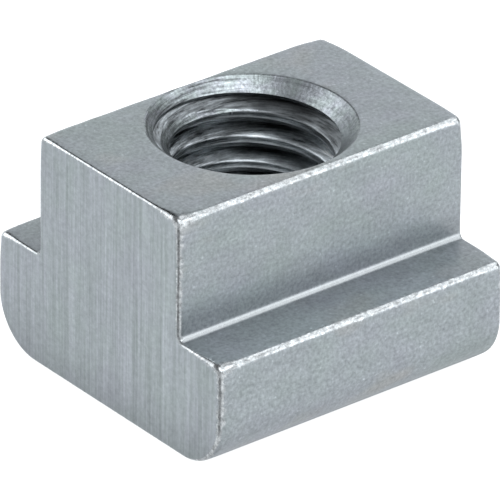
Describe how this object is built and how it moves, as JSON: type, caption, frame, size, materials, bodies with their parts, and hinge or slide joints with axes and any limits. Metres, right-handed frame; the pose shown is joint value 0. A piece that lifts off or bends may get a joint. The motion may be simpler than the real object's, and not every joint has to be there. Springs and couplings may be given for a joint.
{
  "type": "t slot nut",
  "caption": "One-piece steel nut with a T-shaped section that slides in a slot and takes a clamping screw in its tapped hole.",
  "frame": {"origin": "middle of the base, on the axis of the tapped hole", "axes": "+Z out of the slot along the hole, Y along the slot, X across the flanges"},
  "size_m": [0.022, 0.022, 0.016],
  "materials": {
    "plated_steel": "drawn and tumbled, fine satin, bright worn edges"
  },
  "bodies": {
    "root": {"t_slot_nut": "plated_steel"}
  },
  "joints": []
}
